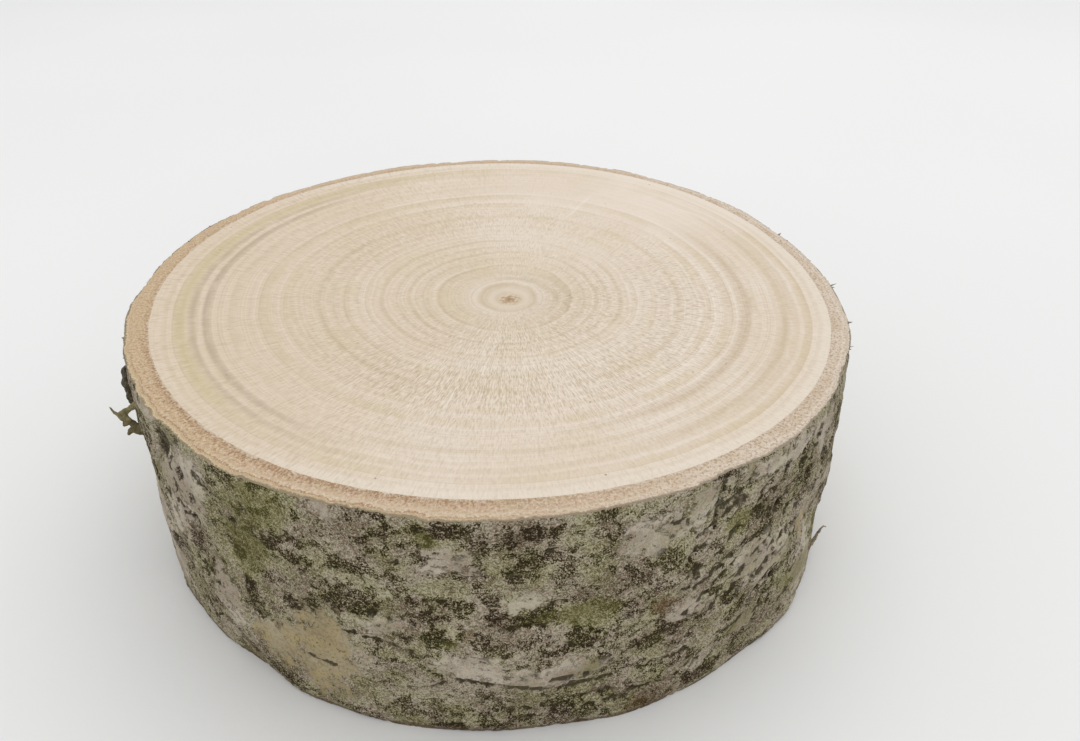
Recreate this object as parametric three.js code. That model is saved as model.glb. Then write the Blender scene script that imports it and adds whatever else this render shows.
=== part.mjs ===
// A wood slice: a thick disc sawn straight across a young broadleaf stem, with its bark on.
// Wood and bark grew as one piece, so they are one solid. Two lichens that live on the bark are
// separate solids: a branched tuft that stands out from the left side, and a dark leafy crust near it.
//
// Millimetres, +Z up. The origin is the middle of the lower saw cut, on which the slice rests.
// The front is -Y, the left side is -X. Angles run anticlockwise from +X, seen from above.

import * as THREE from "three";
import { mergeVertices } from "three/addons/utils/BufferGeometryUtils.js";

// Driving dimensions of the slice
const thickness = 40; // from one saw cut to the other
const meanRadius = 58.6; // to the outside of the bark
const taper = 0.3; // how much more radius the stem has at the lower cut than at the upper one

// How the stem's outline leaves the circle: each wave's number of lobes, its height as a share of
// the radius, and the angle of one of its peaks, in degrees
const outlineWaves = [
  { lobes: 2, share: 0.013, peak: -43 },
  { lobes: 3, share: 0.0065, peak: -51 },
  { lobes: 4, share: 0.0045, peak: -28 },
];

// Ripples that run round the bark's wall: lobes round the stem, waves from cut to cut, height in mm
const barkRipples = [
  { lobes: 9, waves: 1.5, height: 0.16 },
  { lobes: 14, waves: -2, height: 0.12 },
  { lobes: 23, waves: 2.5, height: 0.1 },
];

// Single swellings and hollows of the bark: the angle and height of the middle, the half width
// round the stem and the half height, all in mm but the angle, and how far the bark stands out
const barkSwellings = [
  { angle: -148, height: 12, halfWidth: 14, halfHeight: 9, out: 0.5 },
  { angle: -128, height: 0, halfWidth: 7, halfHeight: 5, out: -0.6 },
  { angle: -116, height: 12, halfWidth: 13, halfHeight: 8, out: 0.3 },
  { angle: -141, height: 36, halfWidth: 4, halfHeight: 3, out: -0.6 },
  { angle: -88, height: 13, halfWidth: 13, halfHeight: 4, out: 0.4 },
  { angle: -60, height: 35, halfWidth: 2.5, halfHeight: 5, out: -0.5 },
  { angle: -41, height: 2, halfWidth: 8, halfHeight: 8, out: 0.6 },
  { angle: -22, height: 22, halfWidth: 9, halfHeight: 10, out: 0.4 },
  { angle: 35, height: 24, halfWidth: 13, halfHeight: 10, out: 0.5 },
  { angle: 82, height: 10, halfWidth: 10, halfHeight: 9, out: 0.4 },
  { angle: 118, height: 30, halfWidth: 8, halfHeight: 6, out: -0.5 },
  { angle: 165, height: 16, halfWidth: 12, halfHeight: 11, out: 0.4 },
];

const wallSteps = 150; // facets round the wall
const wallRows = 10; // rows of facets from cut to cut

// Driving dimensions of the lichens
const lichenGap = 0.3; // clearance between a lichen's solid and the bark
const tuftAngle = -154;
const tuftThickness = 0.6;
const crustAngle = -158;
const crustHalfWidth = 3.2; // round the stem
const crustHalfHeight = 1.9;
const crustThickness = 0.9;
const crustDrop = 3.4; // from the upper cut down to the middle of the crust
const crustLobes = 7;
const crustLobeDepth = 0.14; // as a share of the crust's half size
const crustOutlineSteps = 42;

// The tuft's flat branched body, seen from the side: distance out from the bark, and drop below the
// upper cut. It holds on to the bark at its top and at its foot, and ends in three tips.
const tuftOutline = [
  [0, 4.2],
  [0.9, 4.9],
  [1.9, 5.0],
  [3.3, 3.8],
  [2.9, 5.0],
  [2.1, 6.0],
  [1.8, 6.6],
  [2.2, 7.4],
  [1.3, 7.7],
  [2.0, 8.8],
  [0.9, 9.3],
  [0, 10.4],
  [0, 9.2],
  [0.6, 8.2],
  [0.8, 7.0],
  [0.8, 6.0],
  [0, 5.3],
];

const endGrain = new THREE.MeshStandardMaterial({ color: 0xd9ccb6, roughness: 0.85, metalness: 0 });
const oliveLichen = new THREE.MeshStandardMaterial({ color: 0x6e6a45, roughness: 0.9, metalness: 0 });
const darkLichen = new THREE.MeshStandardMaterial({ color: 0x45412f, roughness: 0.9, metalness: 0 });

// Radius of the bark's outside at an angle in radians and a height in mm.
function barkRadius(angle, height) {
  let radius = meanRadius + taper * (0.5 - height / thickness);
  for (const wave of outlineWaves) {
    const turned = angle - THREE.MathUtils.degToRad(wave.peak);
    radius += meanRadius * wave.share * Math.cos(wave.lobes * turned);
  }
  for (const ripple of barkRipples) {
    const climbed = (2 * Math.PI * ripple.waves * height) / thickness;
    radius += ripple.height * Math.sin(ripple.lobes * angle + climbed);
  }
  for (const swelling of barkSwellings) {
    const turned = angle - THREE.MathUtils.degToRad(swelling.angle);
    const nearest = Math.atan2(Math.sin(turned), Math.cos(turned));
    const across = (nearest * meanRadius) / swelling.halfWidth;
    const above = (height - swelling.height) / swelling.halfHeight;
    radius += swelling.out * Math.exp(-(across * across) - above * above);
  }
  return radius;
}

// The slice: a turned disc whose wall is then moved in and out to the bark's real shape. Both saw
// cuts stay flat.
function sliceGeometry() {
  const profile = [new THREE.Vector2(0, 0)];
  for (let row = 0; row <= wallRows; row++) {
    profile.push(new THREE.Vector2(meanRadius, (thickness * row) / wallRows));
  }
  profile.push(new THREE.Vector2(0, thickness));
  const geometry = new THREE.LatheGeometry(profile, wallSteps);
  geometry.rotateX(Math.PI / 2);
  geometry.deleteAttribute("normal");
  geometry.deleteAttribute("uv");
  const position = geometry.getAttribute("position");
  for (let i = 0; i < position.count; i++) {
    const x = position.getX(i);
    const y = position.getY(i);
    const turnedRadius = Math.hypot(x, y);
    if (turnedRadius > meanRadius / 2) {
      const share = barkRadius(Math.atan2(y, x), position.getZ(i)) / turnedRadius;
      position.setXY(i, x * share, y * share);
    }
  }
  const solid = mergeVertices(geometry, 1e-3);
  solid.computeVertexNormals();
  return solid;
}

// The bark's largest radius over a small window, so that a solid placed there clears it all.
function clearRadius(angle, halfWidth, lowest, highest) {
  const samples = 8;
  let radius = 0;
  for (let i = 0; i <= samples; i++) {
    const turned = angle + ((2 * i) / samples - 1) * (halfWidth / meanRadius);
    for (let j = 0; j <= samples; j++) {
      const height = lowest + ((highest - lowest) * j) / samples;
      radius = Math.max(radius, barkRadius(turned, height));
    }
  }
  return radius + lichenGap;
}

// The branched tuft: a flat body in the upright plane that runs through the stem's axis.
function tuftGeometry() {
  const shape = new THREE.Shape(tuftOutline.map(([out, drop]) => new THREE.Vector2(out, -drop)));
  const geometry = new THREE.ExtrudeGeometry(shape, { depth: tuftThickness, bevelEnabled: false });
  geometry.translate(0, 0, -tuftThickness / 2);
  const angle = THREE.MathUtils.degToRad(tuftAngle);
  const outwards = new THREE.Vector3(Math.cos(angle), Math.sin(angle), 0);
  const up = new THREE.Vector3(0, 0, 1);
  const across = new THREE.Vector3().crossVectors(outwards, up);
  const drops = tuftOutline.map(([, drop]) => drop);
  const lowest = thickness - Math.max(...drops);
  const highest = thickness - Math.min(...drops);
  const foot = outwards.clone().multiplyScalar(clearRadius(angle, 1, lowest, highest));
  foot.z = thickness;
  geometry.applyMatrix4(new THREE.Matrix4().makeBasis(outwards, up, across).setPosition(foot));
  return geometry;
}

// The leafy crust: a lobed patch that lies flat against the bark.
function crustGeometry() {
  const outline = [];
  for (let i = 0; i < crustOutlineSteps; i++) {
    const turn = (2 * Math.PI * i) / crustOutlineSteps;
    const reach = 1 - crustLobeDepth * (1 - Math.cos(crustLobes * turn));
    outline.push(
      new THREE.Vector2(crustHalfWidth * reach * Math.cos(turn), crustHalfHeight * reach * Math.sin(turn)),
    );
  }
  const geometry = new THREE.ExtrudeGeometry(new THREE.Shape(outline), {
    depth: crustThickness,
    bevelEnabled: false,
  });
  const angle = THREE.MathUtils.degToRad(crustAngle);
  const outwards = new THREE.Vector3(Math.cos(angle), Math.sin(angle), 0);
  const up = new THREE.Vector3(0, 0, 1);
  const across = new THREE.Vector3().crossVectors(up, outwards);
  const middle = thickness - crustDrop;
  const lowest = middle - crustHalfHeight;
  const highest = middle + crustHalfHeight;
  const foot = outwards.clone().multiplyScalar(clearRadius(angle, crustHalfWidth, lowest, highest));
  foot.z = middle;
  geometry.applyMatrix4(new THREE.Matrix4().makeBasis(across, up, outwards).setPosition(foot));
  return geometry;
}

function namedMesh(name, geometry, material) {
  const mesh = new THREE.Mesh(geometry, material);
  mesh.name = name;
  return mesh;
}

const woodSlice = new THREE.Group();
woodSlice.add(namedMesh("wood_slice", sliceGeometry(), endGrain));
woodSlice.add(namedMesh("lichen_tuft", tuftGeometry(), oliveLichen));
woodSlice.add(namedMesh("lichen_crust", crustGeometry(), darkLichen));

export default woodSlice;
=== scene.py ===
"""A wood slice: a thick disc sawn straight across a young broadleaf stem, with its bark on.

Metres, +Z up, the front is -Y and the left side is -X. The origin is the middle of the lower saw cut.
Sizes below are in millimetres, and MM turns them into metres. Angles are in degrees, anticlockwise
from +X seen from above, so the front of the slice is at -90.
"""

import math
import random

import bmesh
import bpy
import numpy as np
from mathutils import Matrix, Vector, noise


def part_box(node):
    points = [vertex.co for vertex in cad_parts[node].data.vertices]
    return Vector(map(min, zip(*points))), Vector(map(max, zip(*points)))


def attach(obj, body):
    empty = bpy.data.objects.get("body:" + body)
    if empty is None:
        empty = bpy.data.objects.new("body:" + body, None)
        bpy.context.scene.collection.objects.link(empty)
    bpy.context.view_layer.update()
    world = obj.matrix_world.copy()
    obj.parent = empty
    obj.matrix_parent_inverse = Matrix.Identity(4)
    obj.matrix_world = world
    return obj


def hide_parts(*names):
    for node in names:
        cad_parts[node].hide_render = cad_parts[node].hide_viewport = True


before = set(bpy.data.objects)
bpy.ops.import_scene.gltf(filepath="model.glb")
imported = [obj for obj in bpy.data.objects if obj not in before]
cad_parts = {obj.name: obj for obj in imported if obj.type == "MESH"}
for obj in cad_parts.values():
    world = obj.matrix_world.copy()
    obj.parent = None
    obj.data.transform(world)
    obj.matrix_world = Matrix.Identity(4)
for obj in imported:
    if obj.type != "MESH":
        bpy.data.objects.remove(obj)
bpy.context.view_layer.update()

MM = 0.001
lowest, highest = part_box("wood_slice")
THICKNESS = (highest.z - lowest.z) / MM

# ---------------------------------------------------------------------------------------------
# The stem's shape. The outside of the bark follows the same formula as the frame's own solid.

MEAN_RADIUS = 58.6
TAPER = 0.3
# lobes, height as a share of the radius, angle of a peak
OUTLINE_WAVES = ((2, 0.013, -43), (3, 0.0065, -51), (4, 0.0045, -28))
# lobes round the stem, waves from cut to cut, height
BARK_RIPPLES = ((9, 1.5, 0.16), (14, -2, 0.12), (23, 2.5, 0.1))
# angle, height, half width, half height, how far the bark stands out
BARK_SWELLINGS = (
    (-148, 12, 14, 9, 0.5), (-128, 0, 7, 5, -0.6), (-116, 12, 13, 8, 0.3), (-141, 36, 4, 3, -0.6),
    (-88, 13, 13, 4, 0.4), (-60, 35, 2.5, 5, -0.5), (-41, 2, 8, 8, 0.6), (-22, 22, 9, 10, 0.4),
    (35, 24, 13, 10, 0.5), (82, 10, 10, 9, 0.4), (118, 30, 8, 6, -0.5), (165, 16, 12, 11, 0.4),
)
PITH = Vector((3.4, -5.3, 0))
YEARS = 26


def turn_between(angle, middle):
    """How far an angle in radians is from a middle in degrees, the short way round, in radians."""
    turned = angle - math.radians(middle)
    return np.arctan2(np.sin(turned), np.cos(turned))


def stem_radius(angle):
    """Radius of the stem's outline at an angle in radians, without its bark's ripples."""
    share = 1.0
    for lobes, height, peak in OUTLINE_WAVES:
        share = share + height * np.cos(lobes * (angle - math.radians(peak)))
    return MEAN_RADIUS * share


def bark_radius(angle, height):
    """Radius of the outside of the bark at an angle in radians and a height."""
    radius = stem_radius(angle) + TAPER * (0.5 - height / THICKNESS)
    for lobes, waves, out in BARK_RIPPLES:
        radius = radius + out * np.sin(lobes * angle + 2 * math.pi * waves * height / THICKNESS)
    for middle, level, half_width, half_height, out in BARK_SWELLINGS:
        across = turn_between(angle, middle) * MEAN_RADIUS / half_width
        above = (height - level) / half_height
        radius = radius + out * np.exp(-(across**2) - above**2)
    return radius


def bark_thickness(angle):
    """Thickness of the bark: 4.1 mm at the front left, 2.3 mm at the back right, 2.5 at the back left."""
    thinner = 0.55 * np.exp(-((turn_between(angle, 138) / 0.6) ** 2))
    return 3.2 + 0.95 * np.cos(angle + math.radians(125)) - thinner


def cambium_radius(angle):
    """Radius of the line where the wood ends and the bark begins."""
    return stem_radius(angle) - bark_thickness(angle)


def on_stem(angle, height, out=0.0):
    """A point in millimetres that stands out from the bark at an angle in degrees and a height."""
    turned = math.radians(angle)
    radius = float(bark_radius(turned, height)) + out
    return Vector((radius * math.cos(turned), radius * math.sin(turned), height))


# ---------------------------------------------------------------------------------------------
# What grows on the bark and what has flaked off it: angle, height, half width, half height.

# Smooth lilac-grey scales of young bark that lie a little proud
PALE_SCALES = (
    (-141, 28.5, 4.5, 6.5), (-151, 18, 4, 4), (-151, 8, 4.5, 5.5), (-131.5, 14.5, 3, 4.5),
    (-64.5, 18, 3.2, 1.8), (-50, 17.8, 5, 2), (-49, 38, 9, 1.6), (-37, 35, 3.2, 3.6),
    (-38.5, 10, 4, 6.5), (-53, 9, 3.2, 1.8), (-135.5, 32, 3.5, 6), (-111.5, 39.2, 1.5, 1.3),
    (-105.3, 20.7, 3.2, 1.3), (-95.8, 33.3, 3.3, 2), (-94, 14.5, 5.5, 2.2), (-84, 12, 7, 2),
    (-87, 26, 2.2, 1.5), (-70.5, 34, 4.5, 2.6), (-63.5, 35.8, 2.3, 3), (-52, 21.5, 6, 3.2),
)
# Smooth tan bark laid bare where a flake has come off
BARE_PATCHES = (
    (-115, 12, 5.5, 7), (-122.5, 10.5, 4.5, 4), (-40, 19, 2, 2.5),
)
# Soft green film of algae
ALGAE = (
    (-122, 36, 6.3, 5), (-125, 27, 4, 5), (-98.5, 36.4, 1.3, 1.3), (-96.5, 18.5, 1.2, 0.8),
    (-79, 22.8, 6, 2.3), (-78.5, 12.6, 2.2, 1.8), (-58, 30.4, 1.8, 1.6), (-54.8, 9, 3, 2),
    (-40, 9.3, 4, 3),
)
# Rust-brown stains
RUST = (
    (-94.3, 20.5, 0.8, 1), (-68.5, 21, 2, 2.2), (-129.5, 4, 2, 1.6), (-69, 2.3, 4, 1.8),
)
# Dark granular crusts, loosely grown
LOOSE_CRUSTS = (
    (-117.5, 29, 4, 2), (-153, 30, 3.5, 5), (-121, 34, 5, 5.5), (-144.5, 18.5, 3, 5),
    (-137, 10, 3, 3), (-66, 27, 5, 2.2), (-96, 24, 4, 3), (-79, 19, 3.5, 2.5),
    (-122.7, 13.1, 2, 0.6), (-129.5, 4, 2, 1.6), (-124, 3.2, 0.8, 0.8), (-119.5, 3.2, 2.8, 2.3),
    (-122.3, 5.8, 1.8, 0.7), (-137.7, 21.5, 2.6, 2.2), (-141.7, 20.2, 2.5, 1.5), (-135, 17.9, 1, 1),
    (-133.2, 22.2, 0.8, 0.8), (-111.5, 5.3, 1.6, 1.6), (-104, 38, 5, 2.2), (-101.5, 36, 1.6, 1.2),
    (-108.5, 30.5, 3.6, 1.8), (-92.5, 19, 2, 2.7), (-90, 25.6, 2.6, 1.5), (-88, 35, 5.2, 3.6),
    (-93, 4.8, 5.3, 1.9), (-104, 5, 1.2, 2.5), (-72, 29, 9, 1.8), (-68, 15.5, 4, 3.5),
    (-57, 11.8, 1.6, 1.3), (-53, 29.5, 3.3, 2), (-48, 14.5, 3, 3.5), (-63.5, 7.5, 4, 0.8),
    (-69, 2.3, 4, 1.8),
)
# Dark granular crusts, densely grown and nearly black
DENSE_CRUSTS = (
    (-118.8, 19.9, 1.5, 1.3), (-154, 31, 1.8, 3), (-108.5, 30.5, 2.6, 1.5), (-120, 30.5, 2.2, 1.8),
    (-85, 37.6, 4.2, 1.7), (-96, 38.2, 2.4, 1.3), (-87.5, 23.4, 4.2, 2.4), (-94.5, 25.8, 1.6, 1.2),
    (-79, 18.3, 2.4, 1.8), (-122, 2, 3.8, 1.6), (-96, 1.6, 3, 1.3), (-60, 2.6, 4, 1.4),
    (-65.5, 26.4, 2.6, 1.1), (-115.4, 21, 1, 1.8), (-127.5, 24.8, 1, 1.3), (-126.2, 18.2, 1.3, 2.5),
    (-124.7, 15.1, 1.2, 1.8), (-125.2, 13.1, 1, 1), (-106.3, 35.7, 0.9, 0.7),
    (-99.3, 38.5, 0.6, 0.5), (-109.5, 23.7, 3.5, 2.6), (-98.5, 19.8, 3.6, 1.9),
    (-81.5, 4, 4.8, 2.6), (-87.5, 14.4, 1.6, 0.5), (-82.8, 16.3, 1.8, 0.8), (-72.3, 14.6, 1, 1),
    (-57, 16.4, 1.5, 1.3), (-59, 21.5, 1, 0.4), (-60.3, 19.2, 0.9, 0.4), (-55, 26, 3.2, 1),
    (-61.5, 2.5, 1.6, 1),
)
# Small black pits: angle, height, radius
PITS = (
    (-123.9, 34.5, 0.9), (-127.2, 30.6, 0.9), (-138.1, 33.1, 0.9), (-135.9, 30.2, 0.9),
    (-136.6, 26.0, 1.0), (-141, 29.3, 0.9), (-49.4, 36.3, 0.8), (-45.6, 36.4, 0.8),
    (-43, 34.9, 0.8), (-40, 36.2, 1.2), (-42.6, 30.9, 0.8), (-47, 29.8, 0.8), (-48.8, 28.6, 0.8),
    (-37, 33.4, 0.8), (-36.8, 30.1, 1.4), (-37, 24.5, 1.8), (-42.8, 24.3, 0.9), (-45.6, 22, 0.9),
    (-42.3, 19.2, 0.9), (-48, 14.4, 0.9), (-51, 7.8, 0.9), (-49, 11.8, 0.9),
)
# Creases in the bark: half width, then the angle and height of each bend
CREASES = (
    (0.35, (-142.6, 38.0), (-141.6, 36.4), (-141.2, 34.2), (-142.3, 31.6)),
    (0.25, (-112, 17.9), (-106.5, 17.7), (-102, 16.2)),
    (0.32, (-100, 12.9), (-96.5, 11.6), (-89, 10.6), (-84, 9.6), (-78, 9.1), (-75.5, 9.1)),
    (0.15, (-103.2, 8.3), (-100, 8.8), (-97.7, 10.8)),
    (0.22, (-119.5, 27.8), (-115.7, 27.8)),
)
# Short cracks: how many, the angles they lie between, how far they climb at each bend, and the
# half width of the widest
SHORT_CRACKS = (
    (80, -180, 180, 0.0, 0.26),
    (95, -68, -33, 0.75, 0.32),
    (30, -152, -128, -0.6, 0.26),
)

# A deep hollow under the left of the upper cut, where a flake has gone
HOLLOWS = ((-144.2, 35.2, 2.3, 3.0),)
# The one upright crack, which reaches the upper cut
CRACK = (0.4, (-60.5, 39.4), (-60.9, 35.2), (-61.5, 31.6))
# The stretch whose patches grow at random: from the right side, round the back, to the left side
RANDOM_FROM, RANDOM_TO = -34, 214


def grown_at_random(seed, count, half_width, half_height):
    """Patches strewn over the right side, the back and the left side, all in the same character."""
    chance = random.Random(seed)
    patches = []
    for _ in range(count):
        size = chance.uniform(0.5, 1.0) ** 2
        patches.append((
            chance.uniform(RANDOM_FROM, RANDOM_TO),
            chance.uniform(0, THICKNESS),
            half_width * size * chance.uniform(0.7, 1.3),
            half_height * size * chance.uniform(0.7, 1.3),
        ))
    return tuple(patches)


# ---------------------------------------------------------------------------------------------
# Mesh helpers

COARSE_STEPS = 60
TOUCHING = 1e-4  # points nearer to each other than this are one point


def finished(name, shape, materials, smooth_below=40):
    """Turns a bmesh in millimetres into an object in metres, smooth but for its real edges."""
    mesh = bpy.data.meshes.new(name)
    bmesh.ops.scale(shape, vec=(MM, MM, MM), verts=shape.verts)
    shape.to_mesh(mesh)
    shape.free()
    for material in materials:
        mesh.materials.append(material)
    mesh.shade_smooth()
    mesh.set_sharp_from_angle(angle=math.radians(smooth_below))
    piece = bpy.data.objects.new(name, mesh)
    bpy.context.scene.collection.objects.link(piece)
    return piece


def belongs(piece, node):
    """The piece rides on the slice and stands for a node of the frame, whose own part is hidden."""
    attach(piece, "root")
    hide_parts(node)


def spun(corners, cuts, steps):
    """A closed profile of corners (radius, height) with cuts in its sides, turned all the way round.

    It is turned in coarse steps, which are then cut finer and pushed out to true roundness."""
    shape = bmesh.new()
    points = [shape.verts.new((radius, 0, height)) for radius, height in corners]
    sides = [shape.edges.new((points[i], points[i - len(points) + 1])) for i in range(len(cuts))]
    for side, count in zip(sides, cuts):
        if count:
            bmesh.ops.subdivide_edges(shape, edges=[side], cuts=count)
    bmesh.ops.spin(
        shape,
        geom=shape.verts[:] + shape.edges[:],
        cent=(0, 0, 0),
        axis=(0, 0, 1),
        dvec=(0, 0, 0),
        angle=2 * math.pi,
        steps=COARSE_STEPS,
        use_merge=True,
        use_duplicate=False,
    )
    bmesh.ops.remove_doubles(shape, verts=shape.verts, dist=TOUCHING)
    hoops = []
    for edge in shape.edges:
        one, other = (vertex.co for vertex in edge.verts)
        if abs(one.z - other.z) < TOUCHING and abs(one.xy.length - other.xy.length) < TOUCHING:
            hoops.append(edge)
    cuts_between = steps // COARSE_STEPS - 1
    bmesh.ops.subdivide_edges(shape, edges=hoops, cuts=cuts_between, use_grid_fill=True)
    bmesh.ops.recalc_face_normals(shape, faces=shape.faces)
    step = 2 * math.pi / COARSE_STEPS
    for vertex in shape.verts:
        past_middle = math.atan2(vertex.co.y, vertex.co.x) % step - step / 2
        vertex.co.xy *= math.cos(past_middle) / math.cos(step / 2)
    return shape


def places(shape):
    """The places of all of a bmesh's vertices, as an array."""
    return np.array([vertex.co for vertex in shape.verts])


def move_to(shape, moved):
    """Moves all of a bmesh's vertices to new places."""
    for vertex, place in zip(shape.verts, moved):
        vertex.co = place


def add_values(mesh, values):
    """Gives a mesh one number per vertex under each name."""
    for name, numbers in values.items():
        attribute = mesh.attributes.new(name, "FLOAT", "POINT")
        attribute.data.foreach_set("value", np.asarray(numbers, np.float32))


def corners_of(mesh):
    """Each face corner's vertex and face, the faces' middles and normals, as arrays."""
    vertex = np.empty(len(mesh.loops), int)
    mesh.loops.foreach_get("vertex_index", vertex)
    sizes = np.empty(len(mesh.polygons), int)
    mesh.polygons.foreach_get("loop_total", sizes)
    middle = np.empty(3 * len(mesh.polygons))
    mesh.polygons.foreach_get("center", middle)
    normal = np.empty(3 * len(mesh.polygons))
    mesh.polygons.foreach_get("normal", normal)
    face = np.repeat(np.arange(len(sizes)), sizes)
    return vertex, face, middle.reshape(-1, 3), normal.reshape(-1, 3)


def lay_out(mesh, across, up):
    """Adds the piece's own flat map, named OFBake, to paint its finish on."""
    flat_map = mesh.uv_layers.new(name="OFBake")
    flat_map.data.foreach_set("uv", np.column_stack((across, up)).astype(np.float32).ravel())


def layered_noise(points, size, layers, seed):
    """Smooth noise from about -1 to 1 whose largest lumps are size millimetres across."""
    shift = Vector((seed * 17.3, seed * -9.1, seed * 5.7))
    return np.array([noise.fractal(Vector(p) / size + shift, 1.0, 2.0, layers) for p in points])


def soft_step(low, high, value):
    """0 below low, 1 above high, smooth between; the other way round when low is above high."""
    share = np.clip((value - low) / (high - low), 0, 1)
    return share * share * (3 - 2 * share)


def patches_over(angle, height, ragged, patches, edge):
    """How much of each point a set of ragged patches covers. A small edge makes them crisp."""
    cover = np.zeros_like(angle)
    for middle, level, half_width, half_height in patches:
        across = turn_between(angle, middle) * MEAN_RADIUS / half_width
        above = (height - level) / half_height
        reach = np.hypot(across, above) + ragged
        cover = np.maximum(cover, soft_step(1 + edge, 1 - edge, reach))
    return cover


def lines_over(angle, height, half_width, bends, wander):
    """How much of each point a wandering line through the bends covers."""
    cover = np.zeros_like(angle)
    for (start_angle, start_height), (end_angle, end_height) in zip(bends, bends[1:]):
        x = turn_between(angle, start_angle) * MEAN_RADIUS
        y = height - start_height
        dx = math.radians(end_angle - start_angle) * MEAN_RADIUS
        dy = end_height - start_height
        share = np.clip((x * dx + y * dy) / (dx * dx + dy * dy), 0, 1)
        away = np.hypot(x - share * dx, y - share * dy) + wander
        cover = np.maximum(cover, soft_step(2 * half_width, 0.4 * half_width, away))
    return cover


# ---------------------------------------------------------------------------------------------
# Material helpers. A place, value or colour is a node's socket, and its id_data is the node's tree.


def linear(code, alpha=1.0):
    """A colour from its sRGB hex code, in linear light."""
    values = []
    for place in (1, 3, 5):
        share = int(code[place:place + 2], 16) / 255
        values.append(share / 12.92 if share <= 0.04045 else ((share + 0.055) / 1.055) ** 2.4)
    return (*values, alpha)


def add(tree, kind, inputs=None, **settings):
    """Adds a shader node, gives it its settings, and sets or links its inputs."""
    node = tree.nodes.new("ShaderNode" + kind)
    for name, value in settings.items():
        setattr(node, name, value)
    for name, value in (inputs or {}).items():
        if isinstance(value, bpy.types.NodeSocket):
            tree.links.new(value, node.inputs[name])
        else:
            node.inputs[name].default_value = value
    return node


def new_material(name):
    """An empty material, and its tree."""
    material = bpy.data.materials.new(name)
    material.use_nodes = True
    material.node_tree.nodes.clear()
    return material, material.node_tree


def in_millimetres(tree, stretch=(1, 1, 1), start=(0, 0, 0)):
    """The place on the piece in millimetres, counted from a start and stretched for a pattern."""
    here = add(tree, "TexCoord").outputs["Object"]
    scale = [1000 * s for s in stretch]
    shift = [-a * s for a, s in zip(start, stretch)]
    return add(tree, "Mapping", {"Vector": here, "Scale": scale, "Location": shift}).outputs[0]


def lumps(place, size, detail=2.0, roughness=0.5, low=0.35, high=0.65):
    """Noise with lumps of a real size in millimetres, spread to fill 0 to 1."""
    pattern = add(
        place.id_data, "TexNoise",
        {"Vector": place, "Scale": 1 / size, "Detail": detail, "Roughness": roughness},
    )
    return between(pattern.outputs[0], low, high)


def between(value, low, high, to_low=0.0, to_high=1.0):
    """Turns low..high into to_low..to_high, smoothly and without going past either.

    Low may be above high: between(value, 5, 2) is 0 from 5 upwards and 1 from 2 downwards."""
    settings = {"Value": value, "From Min": low, "From Max": high, "To Min": to_low, "To Max": to_high}
    return add(value.id_data, "MapRange", settings, interpolation_type="SMOOTHSTEP").outputs[0]


def fades(value, begins, full, lasts, ends):
    """1 while a value lies from full to lasts, fading to 0 where it begins and where it ends."""
    return product_of(between(value, begins, full), between(value, ends, lasts))


def sum_of(*terms):
    """The sum of several values, each times its own share."""
    tree = terms[0][0].id_data
    total = 0.0
    for value, share in terms:
        part = add(tree, "Math", {0: value, 1: share, 2: total}, operation="MULTIPLY_ADD")
        total = part.outputs[0]
    return total


def product_of(*values):
    """The product of several values, kept from 0 to 1."""
    tree = values[0].id_data
    total = 1.0
    for value in values:
        total = add(
            tree, "Math", {0: total, 1: value}, operation="MULTIPLY", use_clamp=True
        ).outputs[0]
    return total


def coat(under, over, cover):
    """A colour with another laid over it where its cover is 1. Either may be a hex code."""
    colours = [linear(c) if isinstance(c, str) else c for c in (under, over)]
    inputs = {0: cover, 6: colours[0], 7: colours[1]}
    return add(cover.id_data, "Mix", inputs, data_type="RGBA", clamp_factor=True).outputs[2]


def coats(colour, *layers):
    """A colour with layers laid over it in turn: each its hex code, then the shares of its cover."""
    for code, *shares in layers:
        colour = coat(colour, code, product_of(*shares))
    return colour


def shades(value, *codes):
    """The colour for a value from 0 to 1 on an even row of shades, darkest first."""
    row = add(value.id_data, "ValToRGB", {0: value})
    steps = row.color_ramp.elements
    while len(steps) < len(codes):
        steps.new(1.0)
    for i, code in enumerate(codes):
        steps[i].position = i / (len(codes) - 1)
        steps[i].color = linear(code)
    return row.outputs[0]


def value_of(tree, name):
    """A number that the mesh holds for each vertex."""
    return add(tree, "Attribute", attribute_name=name).outputs["Fac"]


def surface(tree, colour, roughness, relief, depth, ior=1.5):
    """The finished surface: its colour, its roughness, and fine relief of a real depth."""
    bump = add(tree, "Bump", {"Height": relief, "Strength": 1.0, "Distance": depth * MM})
    shader = add(
        tree, "BsdfPrincipled",
        {"Base Color": colour, "Roughness": roughness, "IOR": ior, "Normal": bump.outputs[0]},
    )
    add(tree, "OutputMaterial", {"Surface": shader.outputs[0]})


# ---------------------------------------------------------------------------------------------
# Sawn end grain: pale, close-grained sapwood, cut across with a fine saw and lightly sanded


def from_pith(tree):
    """The place counted from the pith, its direction and its distance."""
    place = in_millimetres(tree, start=PITH)
    flat = add(tree, "VectorMath", {0: place, 1: (1, 1, 0)}, operation="MULTIPLY").outputs[0]
    direction = add(tree, "VectorMath", {0: flat}, operation="NORMALIZE").outputs[0]
    distance = add(tree, "VectorMath", {0: flat}, operation="LENGTH").outputs["Value"]
    return place, direction, distance


def facing(direction, middle, half_turn):
    """1 towards a middle angle, fading to 0 at half_turn on both sides of it, in degrees."""
    towards = (math.cos(math.radians(middle)), math.sin(math.radians(middle)), 0)
    share = add(direction.id_data, "VectorMath", {0: direction, 1: towards}, operation="DOT_PRODUCT")
    edge, full = math.cos(math.radians(half_turn)), math.cos(math.radians(half_turn * 0.45))
    return between(share.outputs["Value"], edge, full)


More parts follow.
